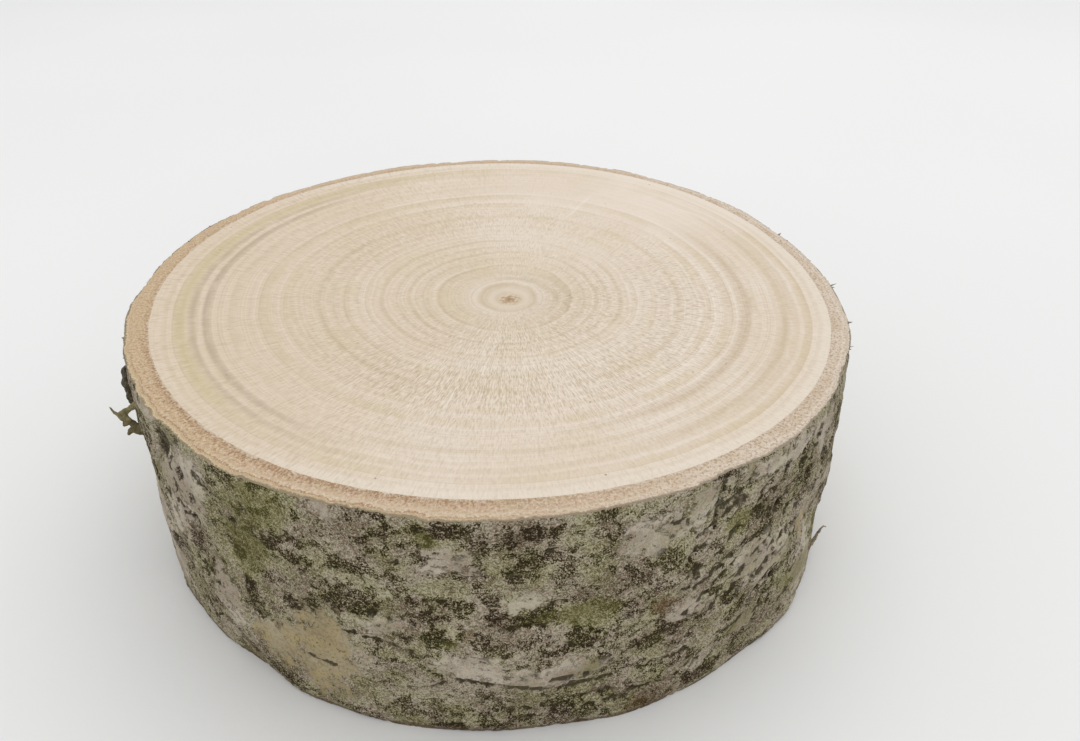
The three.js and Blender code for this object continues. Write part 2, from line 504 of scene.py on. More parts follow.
def ring_band(ring, middle, inner, outer):
    """A soft band along the growth rings: inner and outer are how far it fades to either side."""
    return fades(ring, middle - inner, middle, middle, middle + outer)


def radial_lines(direction, ring, count, length):
    """Fine lines that run out from the pith, count of them in each radian, along the wood's rays."""
    tree = direction.id_data
    turned = add(tree, "VectorMath", {0: direction, 1: (count, count, 0)}, operation="MULTIPLY")
    along = add(tree, "Math", {0: ring, 1: length}, operation="MULTIPLY").outputs[0]
    lift = add(tree, "CombineXYZ", {"Z": along}).outputs[0]
    place = add(tree, "VectorMath", {0: turned.outputs[0], 1: lift}, operation="ADD").outputs[0]
    return add(tree, "TexNoise", {"Vector": place, "Scale": 1.0, "Detail": 2.0}).outputs[0]


def streak(tree, start, end, half_width):
    """A thin straight streak from one point on the cut to another."""
    dx, dy = end[0] - start[0], end[1] - start[1]
    length, turn = math.hypot(dx, dy), math.atan2(dy, dx)
    place = in_millimetres(tree, start=(*start, 0))
    turned = add(
        tree, "VectorRotate", {"Vector": place, "Angle": -turn}, rotation_type="Z_AXIS"
    ).outputs[0]
    parts = add(tree, "SeparateXYZ", {0: turned})
    away = add(tree, "Math", {0: parts.outputs["Y"]}, operation="ABSOLUTE").outputs[0]
    along = fades(parts.outputs["X"], 0, 0.3 * length, 0.6 * length, length)
    return product_of(between(away, half_width, 0), along)


def yearly_rings(tree, place, direction, ring, ripple, patchy):
    """The colour of sapwood with a line for each year's ring."""
    # Each year's ring has its own width and tone. The rings waver by a part of their width.
    waver = lumps(place, 16, 2, low=0, high=1)
    widths = add(tree, "TexNoise", {"W": ring, "Scale": 9.0, "Detail": 2.0}, noise_dimensions="1D")
    age = sum_of((ring, YEARS), (waver, 0.5), (ripple, 0.12), (widths.outputs[0], 2.4))
    year = add(tree, "Math", {0: age}, operation="FLOOR").outputs[0]
    within = add(tree, "Math", {0: age}, operation="FRACT").outputs[0]
    tone = add(tree, "TexWhiteNoise", {"W": year}, noise_dimensions="1D").outputs["Value"]
    late_wood = fades(within, 0.3, 0.8, 0.8, 1.0)
    # The ring lines are plain on the left and at the lower right, and fade out in the front
    plain = sum_of(
        (facing(direction, 178, 105), 0.6), (facing(direction, -28, 85), 0.5),
        (between(ring, 0.45, 0.2), 0.25), (1.0, 0.28),
    )
    front = product_of(facing(direction, -92, 62), between(ring, 0.56, 0.72))
    line = product_of(
        late_wood, between(tone, 0, 1, 0.3, 1.0), sum_of((patchy, 0.6), (1.0, 0.4)),
        plain, between(front, 0, 1, 1.0, 0.35),
    )
    # Growth also slows and quickens within a year, which leaves faint lines about 0.5 mm apart
    spells = add(tree, "TexNoise", {"W": age, "Scale": 4.0, "Detail": 2.0}, noise_dimensions="1D")
    spell = product_of(between(spells.outputs[0], 0.38, 0.62), plain)

    # Sapwood's cream wanders between pinkish and yellowish. Its left side is deeper, partly the wood's
    # own tone and partly painted shade
    warmth = lumps(place, 22, 3, 0.55, 0.36, 0.64)
    yellowish = lumps(place, 9, 3, 0.55, 0.42, 0.66)
    return coats(
        coat("#EADCCE", "#E4D4C3", warmth),
        ("#DAC6AC", facing(direction, 176, 85), between(ring, 0.2, 0.6), 0.6),
        ("#DACAB3", between(ring, 0.5, 0.1), 0.5),
        ("#D9C6AD", tone, plain, 0.5),
        ("#D3C4A0", yellowish, tone, 0.5),
        ("#CCB89A", spell, 0.42),
        ("#BEA988", line, 0.6),
    )


def hard_years(colour, place, direction, ring):
    """Old hard years leave stronger arcs on the left and the right, and the youngest wood is palest."""
    left, right = facing(direction, 178, 66), facing(direction, -20, 66)
    upper_left, front = facing(direction, 160, 75), facing(direction, -75, 60)
    broken = lumps(place, 5, 3, 0.6, 0.3, 0.55)
    half_broken = sum_of((broken, 0.5), (1.0, 0.5))
    return coats(
        colour,
        ("#A7937A", ring_band(ring, 0.853, 0.024, 0.012), left, half_broken, 0.6),
        ("#AF9D84", ring_band(ring, 0.886, 0.014, 0.018), left, broken, 0.5),
        ("#C9BA90", ring_band(ring, 0.918, 0.028, 0.03), upper_left, 0.75),
        ("#BEA787", ring_band(ring, 0.752, 0.04, 0.02), right, 0.55),
        ("#C3AE8C", ring_band(ring, 0.865, 0.03, 0.026), right, 0.55),
        ("#C9B79A", ring_band(ring, 0.815, 0.02, 0.02), front, 0.35),
        ("#E8DDCE", between(ring, 0.94, 0.99), between(left, 0, 1, 0.5, 0.1)),
        ("#CDB999", ring_band(ring, 0.935, 0.02, 0.014), right, 0.45),
    )


def first_years(colour, place, direction, distance, ripple, patchy):
    """Round the pith lie a pale halo, a dark ring, and smudged arcs on one side."""
    around = sum_of((distance, 1.0), (ripple, 2.2), (1.0, -0.4))
    half_patchy = sum_of((patchy, 0.5), (1.0, 0.5))
    smudged = product_of(facing(direction, 42, 80), half_patchy)
    speck = lumps(place, 0.7, 3, 0.7, 0.42, 0.6)
    pith = between(sum_of((distance, 1.0), (speck, 1.1)), 2.4, 1.0)
    heart = between(sum_of((distance, 1.0), (speck, 0.9)), 1.4, 0.5)
    return coats(
        colour,
        ("#DED0BE", between(around, 5.6, 3.4), 0.36),
        ("#BBAB90", fades(around, 4.0, 5.1, 5.2, 6.2), patchy, 0.3),
        ("#B9A985", fades(around, 7.0, 8.0, 8.3, 9.4), smudged, 0.55),
        ("#B9A985", fades(around, 9.4, 10.2, 10.4, 11.6), smudged, 0.4),
        ("#B08C62", pith, 0.85),
        ("#6E5236", heart, speck),
    )


def rays(colour, direction, ring):
    """Rays and fibres that run out from the pith: the colour with them, and two kinds as patterns.

    Real rays lie 0.2 mm apart and are drawn 0.3 to 0.8 mm apart, so that they show."""
    hatch_out = radial_lines(direction, ring, 160, 50)
    hatch_in = radial_lines(direction, ring, 112, 58)
    fan = radial_lines(direction, ring, 120, 6)
    dash = radial_lines(direction, ring, 150, 34)
    hatch = coat(hatch_out, hatch_in, between(ring, 0.45, 0.3))
    worn = sum_of(
        (facing(direction, -60, 110), 0.5), (between(ring, 0.75, 0.5), 0.4),
        (1.0, 0.12),
    )
    towards_rim = between(ring, 0.95, 0.55, 0.4, 1.0)
    worn = product_of(worn, between(ring, 0.03, 0.12), towards_rim)
    in_fan = product_of(
        facing(direction, -88, 60), between(ring, 0.08, 0.2),
        between(ring, 0.8, 0.55),
    )
    dashes = product_of(between(dash, 0.48, 0.34), facing(direction, 172, 110))
    colour = coats(
        colour,
        ("#F1E8DA", between(hatch, 0.5, 0.66), worn, 0.5),
        ("#A8957A", between(hatch, 0.5, 0.34), worn, 0.55),
        ("#F3ECE0", between(fan, 0.54, 0.7), in_fan, 0.36),
        ("#B5A387", between(fan, 0.46, 0.32), in_fan, 0.28),
        ("#B8A588", dashes, between(ring, 0.25, 0.5), 0.34),
        ("#EDE3D5", between(dash, 0.58, 0.72), between(ring, 0.1, 0.35), 0.28),
    )
    return colour, hatch, dash


def end_grain_material():
    """Sapwood across the grain: cream, with soft olive-tan ring lines and fine rays."""
    material, tree = new_material("sawn_sapwood_end_grain")
    place, direction, distance = from_pith(tree)
    ring = value_of(tree, "ring_share")
    ripple = lumps(place, 3, 2, low=0, high=1)
    patchy = lumps(place, 14, 3, 0.6, 0.36, 0.66)
    colour = yearly_rings(tree, place, direction, ring, ripple, patchy)
    colour = hard_years(colour, place, direction, ring)
    colour = first_years(colour, place, direction, distance, ripple, patchy)
    colour, hatch, dash = rays(colour, direction, ring)

    # Pores: the real ones are 0.05 mm wide, and clumps of them show as grains of 0.35 mm
    pores = add(tree, "TexVoronoi", {"Vector": place, "Scale": 1 / 0.42}).outputs["Distance"]
    grain = lumps(place, 0.3, 2, 0.6, 0.3, 0.7)
    pore = product_of(between(pores, 0.3, 0.12), grain)
    # A few dark dots, and a pale mark where something has rubbed the cut
    dots = add(tree, "TexVoronoi", {"Vector": place, "Scale": 1 / 2.6})
    chosen = between(add(tree, "SeparateColor", {0: dots.outputs["Color"]}).outputs[0], 0.8, 0.85)
    colour = coats(
        colour,
        ("#A9977A", pore, 0.2),
        ("#8F7C60", between(dots.outputs["Distance"], 0.09, 0.03), chosen, 0.8),
        ("#EFE8DF", streak(tree, (14.7, 24.6), (22.9, 39.3), 0.6), 0.35),
    )

    # The saw leaves shallow marks right across the cut, 0.6 mm apart
    marks = lumps(in_millimetres(tree, stretch=(0.12, 1.7, 1)), 1.0, 2, 0.5, 0.25, 0.75)
    relief = sum_of((hatch, 0.5), (dash, 0.35), (pore, -0.5), (grain, 0.25), (marks, 0.25))
    surface(tree, colour, sum_of((grain, 0.1), (1.0, 0.66)), relief, 0.035)
    return material


def wood():
    """The wood: a flat disc whose rings all lie between the pith and the bark."""
    steps, upper_rows, lower_rows = 360, 40, 20
    corners = ((0, 0), (1, 0), (1, THICKNESS), (0, THICKNESS))
    shape = spun(corners, (lower_rows, 0, upper_rows), steps)
    at = places(shape)
    share = np.hypot(at[:, 0], at[:, 1])
    angle = np.arctan2(at[:, 1], at[:, 0])
    rim = cambium_radius(angle)
    x = PITH.x * (1 - share) + rim * np.cos(angle) * share
    y = PITH.y * (1 - share) + rim * np.sin(angle) * share
    moved = np.column_stack((x, y, at[:, 2]))
    # A sawn face is never a true plane: it swells and dips by a few hundredths
    dip = 0.035
    swell = layered_noise(moved, 18, 3, 1) * dip
    upper = at[:, 2] > THICKNESS / 2
    moved[:, 2] += np.where(upper, swell - dip, dip - swell)
    move_to(shape, moved)
    piece = finished("wood", shape, [end_grain_material()])
    add_values(piece.data, {"ring_share": share})

    # The flat map holds the upper cut large, the lower cut smaller and the hidden wall tiny
    vertex, face, _, normal = corners_of(piece.data)
    x, y = moved[vertex, 0] / MEAN_RADIUS, moved[vertex, 1] / MEAN_RADIUS
    z = moved[vertex, 2] / THICKNESS
    up, down = normal[face, 2] > 0.5, normal[face, 2] < -0.5
    large, small, tiny = 0.365, 0.2, 0.01
    across = np.where(up, 0.375 + large * x, np.where(down, 0.79 + small * x, 0.97 + tiny * x))
    wall = 0.02 + 2 * tiny * z + tiny * y
    along = np.where(up, 0.375 + large * y, np.where(down, 0.79 + small * y, wall))
    lay_out(piece.data, across, along)
    return piece


# ---------------------------------------------------------------------------------------------
# Bark: a thin grey-brown skin with lichen crusts and algae, over the pinkish-tan inner bark


def bark_skin_material():
    """Young outer bark: matt pinkish-grey cork, grown over with dark granular crusts and algae.

    All of it keeps to one row of earthy shades. Patches differ in how light and how green they are."""
    material, tree = new_material("lichened_outer_bark")
    place = in_millimetres(tree)
    # Bark splits and flakes round the stem, so its mottling is wider than it is tall
    flaky = in_millimetres(tree, stretch=(0.75, 0.75, 1))
    shifted = in_millimetres(tree, stretch=(0.85, 0.85, 1), start=(40, 7, 3))
    broad = lumps(place, 8, 3, 0.5, 0.38, 0.62)
    mottle = lumps(flaky, 2.8, 3, 0.55, 0.39, 0.61)
    clump = lumps(shifted, 1.1, 2, 0.55, 0.36, 0.64)
    grain = lumps(place, 0.45, 2, 0.6, 0.36, 0.64)
    fine = lumps(place, 0.2, 2, 0.6, 0.36, 0.64)
    tint = lumps(shifted, 4.5, 4, 0.6, 0.39, 0.61)
    scale, bare = value_of(tree, "pale_scale"), value_of(tree, "bare_patch")
    smooth = add(tree, "Math", {0: scale, 1: bare}, operation="MAXIMUM").outputs[0]
    rough = between(smooth, 0.2, 0.8, 1.0, 0.3)
    algae_share = value_of(tree, "algae")

    # Crusts are made of separate grains, which crowd where the crust is dense
    crowded = sum_of(
        (value_of(tree, "crust"), 1.15), (mottle, 0.75), (clump, 0.65), (grain, 0.4),
        (1.0, -1.24),
    )
    crusted = between(crowded, 0.0, 0.35)
    thick = between(crowded, 0.15, 0.75)
    granules = add(tree, "TexVoronoi", {"Vector": place, "Scale": 1 / 0.42}).outputs["Distance"]
    granule = product_of(between(granules, 0.55, 0.15), crusted)

    # Fine cracks follow the edges of the flakes
    flake = add(tree, "TexNoise", {"Vector": flaky, "Scale": 1 / 3.2, "Detail": 5.0, "Roughness": 0.6})
    edge = add(tree, "Math", {0: flake.outputs[0], 1: 0.5}, operation="SUBTRACT").outputs[0]
    edge = add(tree, "Math", {0: edge}, operation="ABSOLUTE").outputs[0]
    hairline = product_of(between(edge, 0.018, 0.0), between(clump, 0.3, 0.8))
    plate = between(flake.outputs[0], 0.495, 0.51)

    # How light each point is, from 0 for black to 1 for the palest cork
    speckle = sum_of((mottle, 0.14), (clump, 0.16), (grain, 0.3), (fine, 0.42), (1.0, -0.51))
    speckle = add(tree, "Math", {0: speckle, 1: rough}, operation="MULTIPLY").outputs[0]
    grainier = between(crusted, 0, 1, 0.6, 1.35)
    speckle = add(tree, "Math", {0: speckle, 1: grainier}, operation="MULTIPLY").outputs[0]
    # Pale scales are lightened in a thin band inside their edges: a painted highlight on the flake edges
    lightness = sum_of(
        (speckle, 1.9), (broad, 0.24), (crusted, -0.42), (thick, -0.4), (granule, -0.42),
        (hairline, -0.5), (scale, 0.05), (value_of(tree, "scale_edge_painted_highlight"), 0.1),
        (algae_share, -0.17), (value_of(tree, "rust"), -0.14), (1.0, 0.72),
    )
    rosy = shades(
        lightness, "#332617", "#453828", "#554835", "#655743", "#756852", "#857761", "#968771",
        "#A49581", "#B2A594", "#C4B9A6",
    )
    olive = shades(
        lightness, "#2F2A0E", "#413C1D", "#514C29", "#615B37", "#716C45", "#817B53", "#928B62",
        "#A09974", "#AFA988", "#C2BC9D",
    )
    algae = sum_of((algae_share, 0.9), (clump, 0.4), (1.0, -0.2))
    greenness = sum_of((tint, 0.8), (algae, 0.8), (scale, -0.35))
    colour = coats(
        coat(rosy, olive, greenness),
        ("#7A753D", between(algae, 0.35, 1.0), 0.3),
        ("#A7A095", scale, clump, 0.4),
    )

    # Bark laid bare is tan with an olive bloom and darker flecks
    fleck = product_of(between(clump, 0.4, 0), between(grain, 0.7, 0.2))
    tan = coats(coat("#A39369", "#B0A078", mottle), ("#A79883", tint, 0.7), ("#7D7050", fleck, 0.6))
    laid_bare = sum_of((bare, 1.0), (mottle, 0.4), (clump, 0.3), (1.0, -0.35))
    laid_bare = between(laid_bare, 0.2, 0.9)
    half_mottled = sum_of((mottle, 0.3), (1.0, 0.6))
    colour = coat(colour, tan, product_of(laid_bare, half_mottled))

    # Iron in the wet stains it rust-brown, creases and pits are dark and ragged, and the lower edge
    # is painted a darker pinkish brown: partly the bark's own dark edge, partly painted contact shadow
    crease = sum_of((value_of(tree, "crease"), 1.0), (clump, 0.6))
    ragged_pit = sum_of((value_of(tree, "pit"), 1.0), (grain, 0.8), (clump, 0.5))
    height = add(tree, "SeparateXYZ", {0: place}).outputs["Z"]
    dark_edge_and_painted_contact_shadow = between(sum_of((height, 1.0), (mottle, 0.8)), 1.5, 0.5)
    colour = coats(
        colour,
        ("#8A6843", value_of(tree, "rust"), mottle, 0.35),
        ("#3B331F", between(crease, 0.7, 1.2), 0.86),
        ("#2A2013", between(ragged_pit, 1.05, 1.45), 0.78),
        ("#65503F", dark_edge_and_painted_contact_shadow, 0.7),
    )

    relief = sum_of(
        (grain, 0.6), (fine, 0.25), (clump, 0.5), (mottle, 0.5), (granule, 0.3), (plate, 0.6)
    )
    relief = add(tree, "Math", {0: relief, 1: rough}, operation="MULTIPLY").outputs[0]
    surface(tree, colour, sum_of((grain, 0.08), (1.0, 0.88)), relief, 0.22, ior=1.25)
    return material


def inner_bark_material():
    """Sawn inner bark: gritty red-brown fibres next to the wood, cream cork in layers outside them."""
    material, tree = new_material("sawn_inner_bark")
    place, direction, _ = from_pith(tree)
    across = value_of(tree, "across_bark")
    grit = lumps(place, 0.4, 3, 0.7, 0.3, 0.7)
    mottle = lumps(place, 3, 3, 0.6, 0.34, 0.66)
    fibres = between(radial_lines(direction, across, 210, 3.4), 0.36, 0.64)
    left = facing(direction, 184, 60)
    front_left = facing(direction, -132, 50)
    front = facing(direction, -85, 60)
    right = facing(direction, -5, 95)
    depth = sum_of((across, 1.0), (grit, 0.1), (mottle, 0.14), (1.0, -0.12))

    # The brown layer fills the bark on the left and fades towards the right
    browner = coat("#D9BCA0", "#CDB593", mottle)
    inner = coat(browner, coat("#D9C5AC", "#E6D6C3", mottle), right)
    inner = coats(inner, ("#D5B993", left, 0.8))
    cork = coats(
        coat(coat("#DBC6A8", "#DDC3A6", mottle), "#E7D8C6", right),
        ("#D8BF9B", left, 0.7),
        ("#DCC79C", between(depth, 0.72, 0.9), front_left, 0.7),
    )
    reach = sum_of((left, 0.22), (front_left, -0.1), (depth, -1.0), (1.0, 0.58))
    colour = coat(cork, inner, between(reach, -0.07, 0.07))

    # Dark fibres stand along the rays next to the wood, in a darker seam, and turn to loose grit
    # further out
    near_wood = between(depth, 0.6, 0.0)
    strength = sum_of((left, 0.1), (front_left, 0.45), (right, -0.15), (1.0, 0.4))
    dark = sum_of((fibres, 0.5), (grit, 0.75), (near_wood, 0.35), (1.0, -0.72))
    seam_side = sum_of((front_left, 0.5), (1.0, 0.2))
    specks = product_of(between(grit, 0.62, 0.86), between(depth, 0.98, 0.7))
    # Thin layers of cork, one a year, run along the bark
    layers = add(tree, "TexNoise", {"W": depth, "Scale": 9.0, "Detail": 2.0}, noise_dimensions="1D")
    layer = product_of(between(layers.outputs[0], 0.5, 0.66), between(depth, 0.4, 0.6))
    colour = coats(
        colour,
        ("#A07650", between(dark, 0.0, 0.65), between(reach, -0.1, 0.15), strength),
        ("#A8835E", between(depth, 0.4, 0.1), seam_side, 0.5),
        ("#A88462", specks, between(right, 0, 1, 0.6, 1.0), 0.65),
        ("#EBE0D2", between(grit, 0.4, 0.1), 0.35),
        ("#B08F6A", layer, 0.5),
        ("#A27B58", fades(depth, 0.7, 0.76, 0.76, 0.82), front_left, 0.75),
    )
    # The brown layer is soft against the wood: there is no line between them
    colour = coat("#DDCEB8", colour, between(depth, -0.06, 0.1))

    # Outermost is a ragged edge of the dark outer bark
    outermost = sum_of((across, 1.0), (mottle, 0.1), (grit, 0.07), (front, 0.06), (1.0, -0.09))
    colour = coats(colour, ("#82735B", between(outermost, 0.9, 0.98), 0.8))
    surface(tree, colour, 0.85, sum_of((grit, 0.8), (fibres, 0.4)), 0.12)
    return material


def short_cracks(seed):
    """Short ragged cracks: half width, then the angle and height of each bend."""
    chance = random.Random(seed)
    cracks = []
    for count, first, last, climb, widest in SHORT_CRACKS:
        for _ in range(count):
            angle, height = chance.uniform(first, last), chance.uniform(2.5, THICKNESS - 3.5)
            step = chance.uniform(0.6, 1.2) if climb else chance.uniform(0.8, 2.4)
            bends = [
                (angle + i * step, height + i * climb + chance.uniform(-0.5, 0.5)) for i in range(4)
            ]
            cracks.append((chance.uniform(0.16, widest), *bends))
    return tuple(cracks)


def bark_cover(angle, height, coarse, ragged, fine):
    """What covers each point of the bark, from 0 to 1, under the names that its finish reads."""
    pale = PALE_SCALES + grown_at_random(11, 34, 6.5, 4.2)
    bare = BARE_PATCHES + grown_at_random(12, 6, 6, 5)
    algae = ALGAE + grown_at_random(13, 22, 7, 5)
    rust = RUST + grown_at_random(14, 10, 3, 2.2)
    loose = LOOSE_CRUSTS + grown_at_random(15, 90, 5.5, 3)
    dense = DENSE_CRUSTS + grown_at_random(16, 50, 4, 2.4)
    pits = tuple((a, h, r, r) for a, h, r in PITS) + grown_at_random(17, 60, 1.4, 1.4)

    edge = 0.75 * ragged + 0.35 * fine
    cover = {}
    scale_reach = patches_over(angle, height, edge, pale, 0.4)
    cover["pale_scale"] = soft_step(0.0, 0.8, scale_reach)
    # A thin band just inside each pale scale's edge, which the finish lightens as a painted highlight
    cover["scale_edge_painted_highlight"] = soft_step(0.12, 0.35, scale_reach) * soft_step(0.75, 0.5, scale_reach)
    cover["bare_patch"] = patches_over(angle, height, edge, bare, 0.45)
    cover["algae"] = patches_over(angle, height, 0.5 * coarse, algae, 0.5)
    cover["rust"] = patches_over(angle, height, 0.5 * coarse, rust, 0.6)
    loose_cover = patches_over(angle, height, edge + 0.3 * coarse, loose, 0.5)
    dense_cover = patches_over(angle, height, edge + 0.2 * coarse, dense, 0.45)
    smooth = np.maximum(cover["pale_scale"], cover["bare_patch"])
    background = 0.28 + 0.3 * coarse
    crust = np.maximum(0.62 * loose_cover, 0.95 * dense_cover)
    crust = np.maximum(crust * (1 - 0.6 * smooth), background * (1 - smooth))
    cover["crust"] = np.clip(crust, 0, 1)
    cover["pit"] = patches_over(angle, height, 0.5 * fine + 0.4 * ragged, pits, 0.5)
    crease = np.zeros_like(angle)
    wander = 0.5 * ragged + 0.3 * fine
    for half_width, *bends in CREASES + short_cracks(18):
        crease = np.maximum(crease, lines_over(angle, height, half_width, bends, wander))
    hollow = patches_over(angle, height, 0.35 * ragged + 0.25 * fine, HOLLOWS, 0.35)
    cover["crease"] = np.maximum(crease, hollow)
    cover["hollow"] = hollow
    half_width, *bends = CRACK
    crack = lines_over(angle, height, half_width, bends, 0.6 * wander)
    cover["pit"] = np.maximum(cover["pit"], crack)
    return cover


def bark():
    """The bark: a ring whose outside follows the stem and carries scales, crusts, pits and creases."""
    steps, wall_rows, cut_rows = 900, 90, 7
    inner, outer = 50.0, 60.0
    corners = ((outer, 0), (outer, THICKNESS), (inner, THICKNESS), (inner, 0))
    shape = spun(corners, (wall_rows - 1, cut_rows - 1, 0, 2), steps)
    at = places(shape)
    across = np.clip((np.hypot(at[:, 0], at[:, 1]) - inner) / (outer - inner), 0, 1)
    angle = np.arctan2(at[:, 1], at[:, 0])
    height = at[:, 2]

    # Relief is worked out on the outside, in millimetres, and fades along the cuts to nothing at
    # the wood
    radius = bark_radius(angle, height)
    skin = np.column_stack((radius * np.cos(angle), radius * np.sin(angle), height))
    coarse = layered_noise(skin, 5.0, 3, 2)
    ragged = layered_noise(skin, 1.9, 3, 3)
    fine = layered_noise(skin, 0.9, 2, 4)
    cover = bark_cover(angle, height, coarse, ragged, fine)
    smooth = np.maximum(cover["pale_scale"], cover["bare_patch"])
    relief = 0.22 * coarse + 0.14 * ragged * (1 - 0.7 * smooth) + 0.06 * fine * (1 - 0.8 * smooth)
    relief += 0.24 * soft_step(0.2, 0.6, cover["pale_scale"])
    relief -= 0.2 * soft_step(0.2, 0.7, cover["bare_patch"])
    relief += cover["crust"] * (0.12 + 0.22 * np.abs(fine))
    relief -= 0.4 * cover["pit"] + 0.3 * cover["crease"] + 0.35 * cover.pop("hollow")
    rim = np.minimum(height, THICKNESS - height)
    relief = relief * soft_step(-0.8, 1.2, rim) - 0.12 * soft_step(0.8, 0.0, rim)
    relief -= 0.3 * np.clip(0.5 * ragged + fine, 0, 1) * soft_step(1.4, 0.0, rim)

    shape.normal_update()
    for one in shape.faces:
        one.material_index = int(abs(one.normal.z) > 0.5)
    cambium = cambium_radius(angle)
    overlap = 0.05  # of the bark over the wood, so that no gap shows
    sunk = 0.04  # of the bark's cut below the wood's
    far = cambium - overlap + across * (radius - cambium + overlap) + relief * across**3
    level = height.copy()
    upper = height > THICKNESS - 1e-3
    lower = height < 1e-3
    chips = np.clip(ragged - 0.25, 0, 1) * soft_step(0.6, 1.0, across) * 0.4
    level[upper] -= sunk + chips[upper]
    level[lower] += sunk + 0.3 * chips[lower]
    move_to(shape, np.column_stack((far * np.cos(angle), far * np.sin(angle), level)))
    piece = finished("bark", shape, [bark_skin_material(), inner_bark_material()], 50)
    add_values(piece.data, {"across_bark": across, **cover})
    lay_out_bark(piece.data, angle, across, height)
    return piece


def lay_out_bark(mesh, angle, across, height):
    """The bark's flat map: three lengths of wall, then three of each cut and of the hidden wall."""
    vertex, face, middle, normal = corners_of(mesh)
    third = 2 * math.pi / 3
    face_angle = np.arctan2(middle[:, 1], middle[:, 0]) % (2 * math.pi)
    length = np.minimum(face_angle // third, 2)
    turned = angle[vertex] - face_angle[face]
    turned = np.arctan2(np.sin(turned), np.cos(turned)) + face_angle[face] - length[face] * third
    towards = middle[:, 0] * normal[:, 0] + middle[:, 1] * normal[:, 1]
    cut = np.abs(normal[:, 2]) > 0.75
    z = middle[:, 2] / MM
    upper = cut & (z > THICKNESS / 2)
    lower = cut & ~upper
    inside = ~cut & (towards < 0)
    rows = ((~cut & ~inside, 0.276, height / THICKNESS), (upper, 0.03, across),
            (lower, 0.01, across), (inside, 0.003, height / THICKNESS))
    gap = 0.002
    up = np.zeros(len(vertex))
    start = gap
    for chosen, tall, share in rows:
        for third_of in range(3):
            here = (chosen & (length == third_of))[face]
            up[here] = start + tall * share[vertex][here]
            start += tall + gap
    lay_out(mesh, 0.01 + 0.98 * turned / third, up)


# ---------------------------------------------------------------------------------------------
# What stands out from the bark: a branched tuft, a leafy crust, a shred of bark and torn fibres

# The tuft's straps: distance out from the bark, height, half width at each bend
TUFT_ANGLE = -154
TUFT_STRAPS = (
    ((-0.5, 35.7, 0.6), (0.5, 35.35, 0.42), (1.3, 34.95, 0.36), (2.15, 34.45, 0.42)),
    ((2.0, 34.5, 0.4), (2.55, 34.85, 0.24), (3.0, 35.4, 0.15), (3.4, 36.15, 0.05)),
    ((2.15, 34.45, 0.42), (1.75, 33.8, 0.4), (1.2, 32.9, 0.42), (0.7, 32.0, 0.45), (-0.3, 31.3, 0.5)),
    ((1.4, 33.5, 0.4), (1.8, 33.1, 0.34), (2.1, 32.75, 0.2)),
    ((0.8, 32.1, 0.4), (1.35, 31.5, 0.36), (1.9, 31.1, 0.2)),
    ((1.2, 31.7, 0.3), (0.5, 30.9, 0.36), (-0.4, 30.1, 0.4)),
)
# The crust's leaves: angle, height, half width round the stem, half height, how far it stands out
CRUST_LEAVES = (
    (-158.7, 38.2, 1.5, 1.0, 0.5), (-158.1, 37.2, 1.8, 1.0, 0.7), (-157.6, 36.2, 1.7, 0.9, 0.75),
    (-157.0, 35.4, 1.3, 0.7, 0.65), (-159.6, 36.6, 1.4, 0.9, 0.5), (-160.2, 37.7, 1.2, 0.8, 0.4),
    (-156.6, 34.7, 0.7, 0.6, 0.5),
)
# The shred: angle, then distance out from the bark, height and half width at each bend
SHRED_ANGLE = -26
SHRED = ((-0.3, 0.4, 0.42), (0.3, 1.7, 0.4), (0.9, 3.3, 0.32), (1.35, 4.8, 0.25), (1.6, 5.8, 0.2),
         (1.95, 6.2, 0.16), (2.4, 6.1, 0.07))
# Torn fibres at the upper cut: angle, length, how far they lean outwards in degrees
RIM_FIBRES = (
    (126, 0.8, 60), (89, 0.6, 50), (16, 1.1, 55), (5, 0.8, 65), (-3, 1.2, 75), (-16, 0.9, 80),
    (-23, 0.8, 75), (-28, 0.9, 85),
)


def turned_to(angle):
    """The turn whose x points straight out from the stem at an angle in degrees."""
    return Matrix.Rotation(math.radians(angle), 3, "Z")


def grow_lump(shape, angle, middle, size):
    """A closed egg: its size is how far it reaches outwards, round the stem and upwards."""
    place = Matrix.LocRotScale(middle, turned_to(angle), Vector(size))
    bmesh.ops.create_icosphere(shape, subdivisions=3, radius=1, matrix=place)


def grow_strap(shape, angle, bends, thickness, seed):
    """Eggs in a row through the bends, close enough to merge into one flattened stalk."""
    for start, end in zip(bends, bends[1:]):
        length = math.hypot(end[0] - start[0], end[1] - start[1])
        count = math.ceil(length / (0.45 * min(start[2], end[2]) + 0.03))
        for i in range(count + 1):
            out, height, half_width = (a + (b - a) * i / count for a, b in zip(start, end))
            foot = on_stem(angle, height, out)
            drift = noise.noise(Vector((out, height, seed * 3.1))) * 0.5
            swell = 1 + 0.45 * noise.noise(Vector((out * 3, height * 3, seed * 5.3)))
            middle = foot + turned_to(angle) @ Vector((0, drift, 0))
            grow_lump(shape, angle, middle, (half_width * swell, thickness, half_width * swell))


def merged(name, shape, material, size):
    """Overlapping closed parts grown into one skin whose smallest features have a given size."""
    piece = finished(name, shape, [material], 180)
    together = piece.modifiers.new("grown_together", "REMESH")
    together.mode = "VOXEL"
    together.voxel_size = size * MM
    together.use_smooth_shade = True
    softer = piece.modifiers.new("softened", "SMOOTH")
    softer.factor = 0.5
    softer.iterations = 2
    return piece


